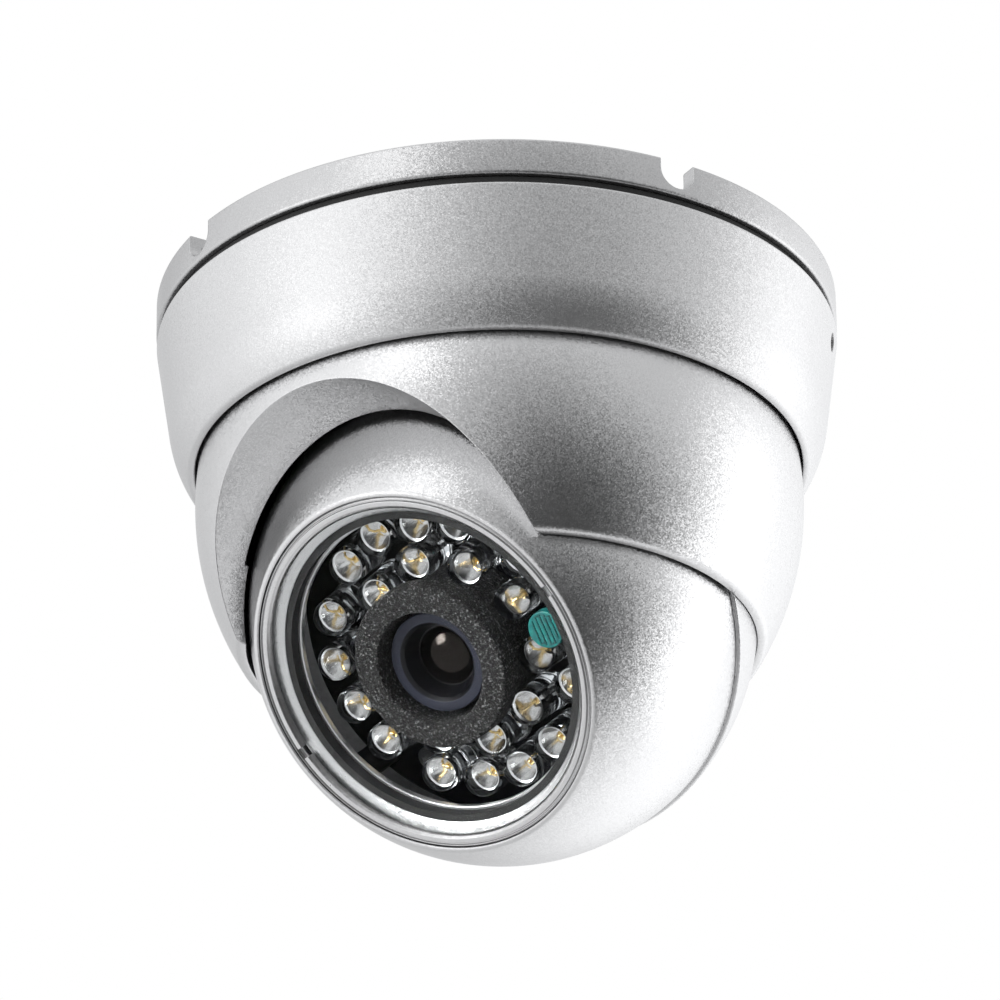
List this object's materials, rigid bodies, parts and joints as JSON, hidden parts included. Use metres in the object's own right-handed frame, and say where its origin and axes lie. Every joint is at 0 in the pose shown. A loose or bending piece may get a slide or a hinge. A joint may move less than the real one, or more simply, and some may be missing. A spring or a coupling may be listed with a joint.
{
  "type": "dome security camera",
  "caption": "Ceiling dome camera: round base, tapered cover and a turret that pans; the ball tilts and its front shell, with lens, infrared lamps and window, turns.",
  "frame": {"origin": "centre of the base's face against the ceiling, on the pan axis", "axes": "+Z into the ceiling along the pan axis, the lens looks towards -Y and down at rest, +X along the tilt axis"},
  "size_m": [0.094, 0.094, 0.0812],
  "materials": {
    "paint_base": "fine metallic silver paint",
    "paint_cover": "fine metallic silver paint",
    "paint_turret": "fine metallic silver paint",
    "paint_front": "fine metallic silver paint",
    "paint_rear": "fine metallic silver paint",
    "paint_bezel": "fine metallic silver paint, satin",
    "black_rubber": "matt",
    "white_plastic": "satin",
    "black_plastic": "satin",
    "zinc_casting": "bare casting",
    "screw_steel": "bright",
    "black_screw": "blackened",
    "window": "clear, coated",
    "black_board": "matt black solder mask",
    "green_board": "green solder mask",
    "sensor_chip": "gloss",
    "lamp_clear": "clear moulded resin",
    "solder": "solder",
    "photocell_green": "clear coat over green track",
    "black_foam": "open foam",
    "lens_black": "anodised black",
    "lens_glass": "coated",
    "brass": "plain"
  },
  "bodies": {
    "base": {"mounting_base": "paint_base", "base_gasket": "black_rubber", "cable_grommet": "black_rubber", "outer_cover": "paint_cover", "cover_set_screws": "black_screw", "pan_glide_ring": "white_plastic", "pan_pressure_ring": "black_rubber"},
    "turret": {"turret_shell": "paint_turret", "ball_pressure_ring": "black_plastic", "ball_retainer_cap": "zinc_casting", "retainer_screws": "screw_steel"},
    "ball": {"ball_rear_shell": "paint_rear", "cable_stem": "zinc_casting", "stem_nut": "zinc_casting", "shell_keeper_ring": "zinc_casting", "keeper_screws": "screw_steel"},
    "head": {"ball_front_shell": "paint_front", "bezel_ring": "paint_bezel", "window_glass": "window", "window_gasket": "black_rubber", "led_board": "black_board", "led_board_screws": "screw_steel", "ir_leds": "lamp_clear", "led_leads": "solder", "photocell": "photocell_green", "photocell_holder": "black_plastic", "foam_baffle_ring": "black_foam", "lens_holder": "black_plastic", "sensor_board": "green_board", "image_sensor": "sensor_chip", "board_standoffs": "brass", "board_screws": "screw_steel", "board_connector": "white_plastic"},
    "lens": {"lens_barrel": "lens_black", "lens_front_glass": "lens_glass", "lens_rear_glass": "lens_glass"}
  },
  "joints": [
    {"name": "pan", "type": "hinge", "parent": "base", "child": "turret", "pos_m": [0, 0, -0.0215], "axis": [0, 0, 1], "range_deg": [-170, 170]},
    {"name": "tilt", "type": "hinge", "parent": "turret", "child": "ball", "pos_m": [0, 0, -0.04692], "axis": [1, 0, 0], "range_deg": [-25, 46]},
    {"name": "roll", "type": "hinge", "parent": "ball", "child": "head", "pos_m": [0, 0, -0.04692], "axis": [0, -0.7431, -0.6691], "range_deg": [-90, 90]},
    {"name": "lens_focus", "type": "hinge", "parent": "head", "child": "lens", "pos_m": [0, 0, -0.04692], "axis": [0, -0.7431, -0.6691], "range_deg": [-90, 90]}
  ]
}
